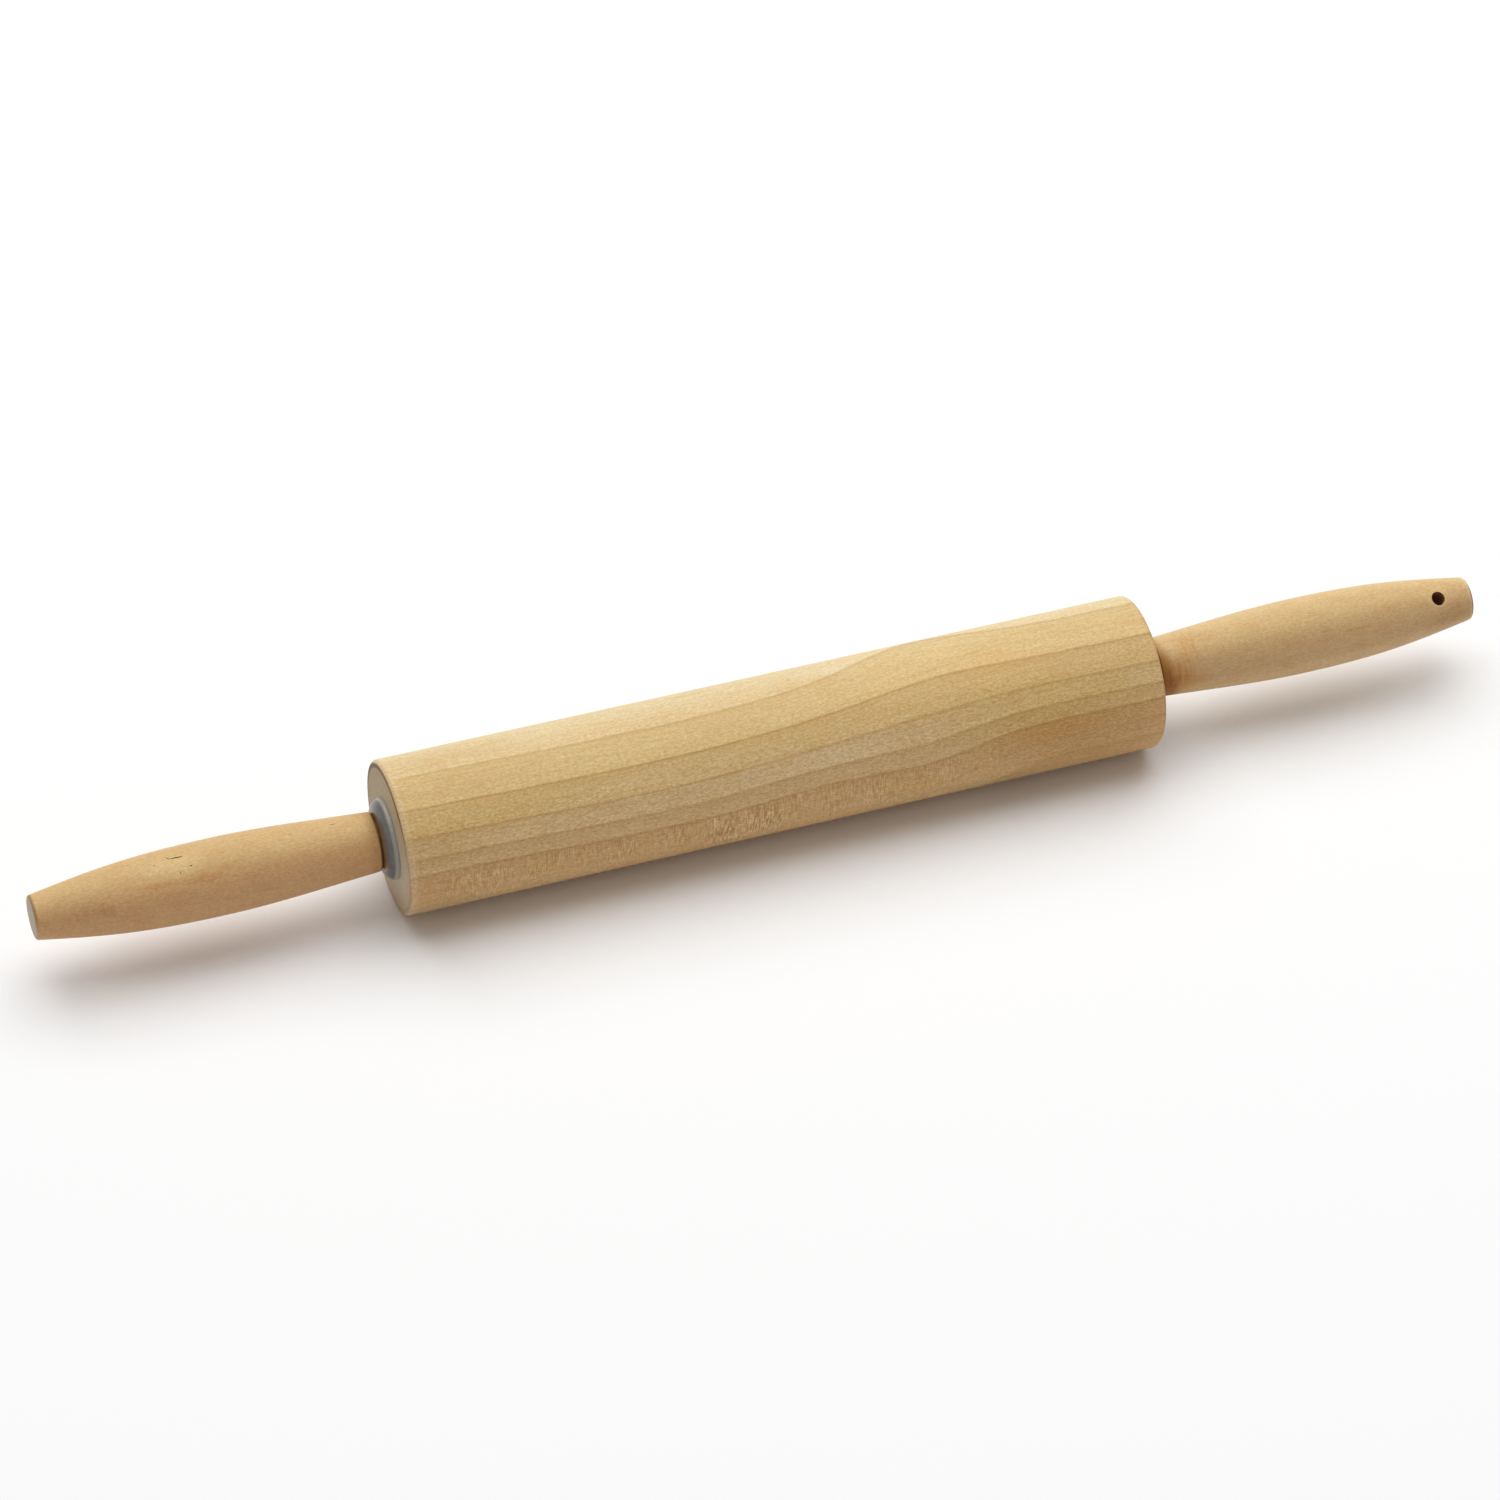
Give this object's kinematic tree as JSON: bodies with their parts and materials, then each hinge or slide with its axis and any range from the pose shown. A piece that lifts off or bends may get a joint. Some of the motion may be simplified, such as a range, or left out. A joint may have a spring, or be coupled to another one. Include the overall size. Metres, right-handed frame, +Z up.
{
  "type": "rolling pin",
  "caption": "Turned wooden rolling pin: a cylindrical roller on grey plastic bearings, with swelling handles on a steel axle and a hang hole in one handle.",
  "frame": {"origin": "middle of the roller, on the axis that roller, axle and handles share", "axes": "+X along the pin towards the handle with the hang hole, +Z up as it lies on a table, -Y towards the viewer"},
  "size_m": [0.4892, 0.0508, 0.0508],
  "materials": {
    "roller_wood": "fine-sanded pale hardwood, lightly oiled",
    "handle_wood": "fine-sanded pinkish hardwood, lightly oiled",
    "bearing_plastic": "moulded, glossy",
    "axle_steel": "drawn bar, smooth",
    "washer_steel": "stamped, dull"
  },
  "bodies": {
    "roller_unit": {"roller": "roller_wood", "left_bearing": "bearing_plastic", "right_bearing": "bearing_plastic"},
    "handle_unit": {"axle_rod": "axle_steel", "left_handle": "handle_wood", "right_handle": "handle_wood", "left_thrust_washer": "washer_steel", "right_thrust_washer": "washer_steel"}
  },
  "joints": [
    {"name": "handle_spin", "type": "hinge", "parent": "roller_unit", "child": "handle_unit", "pos_m": [0, 0, 0], "axis": [1, 0, 0], "continuous": true}
  ]
}
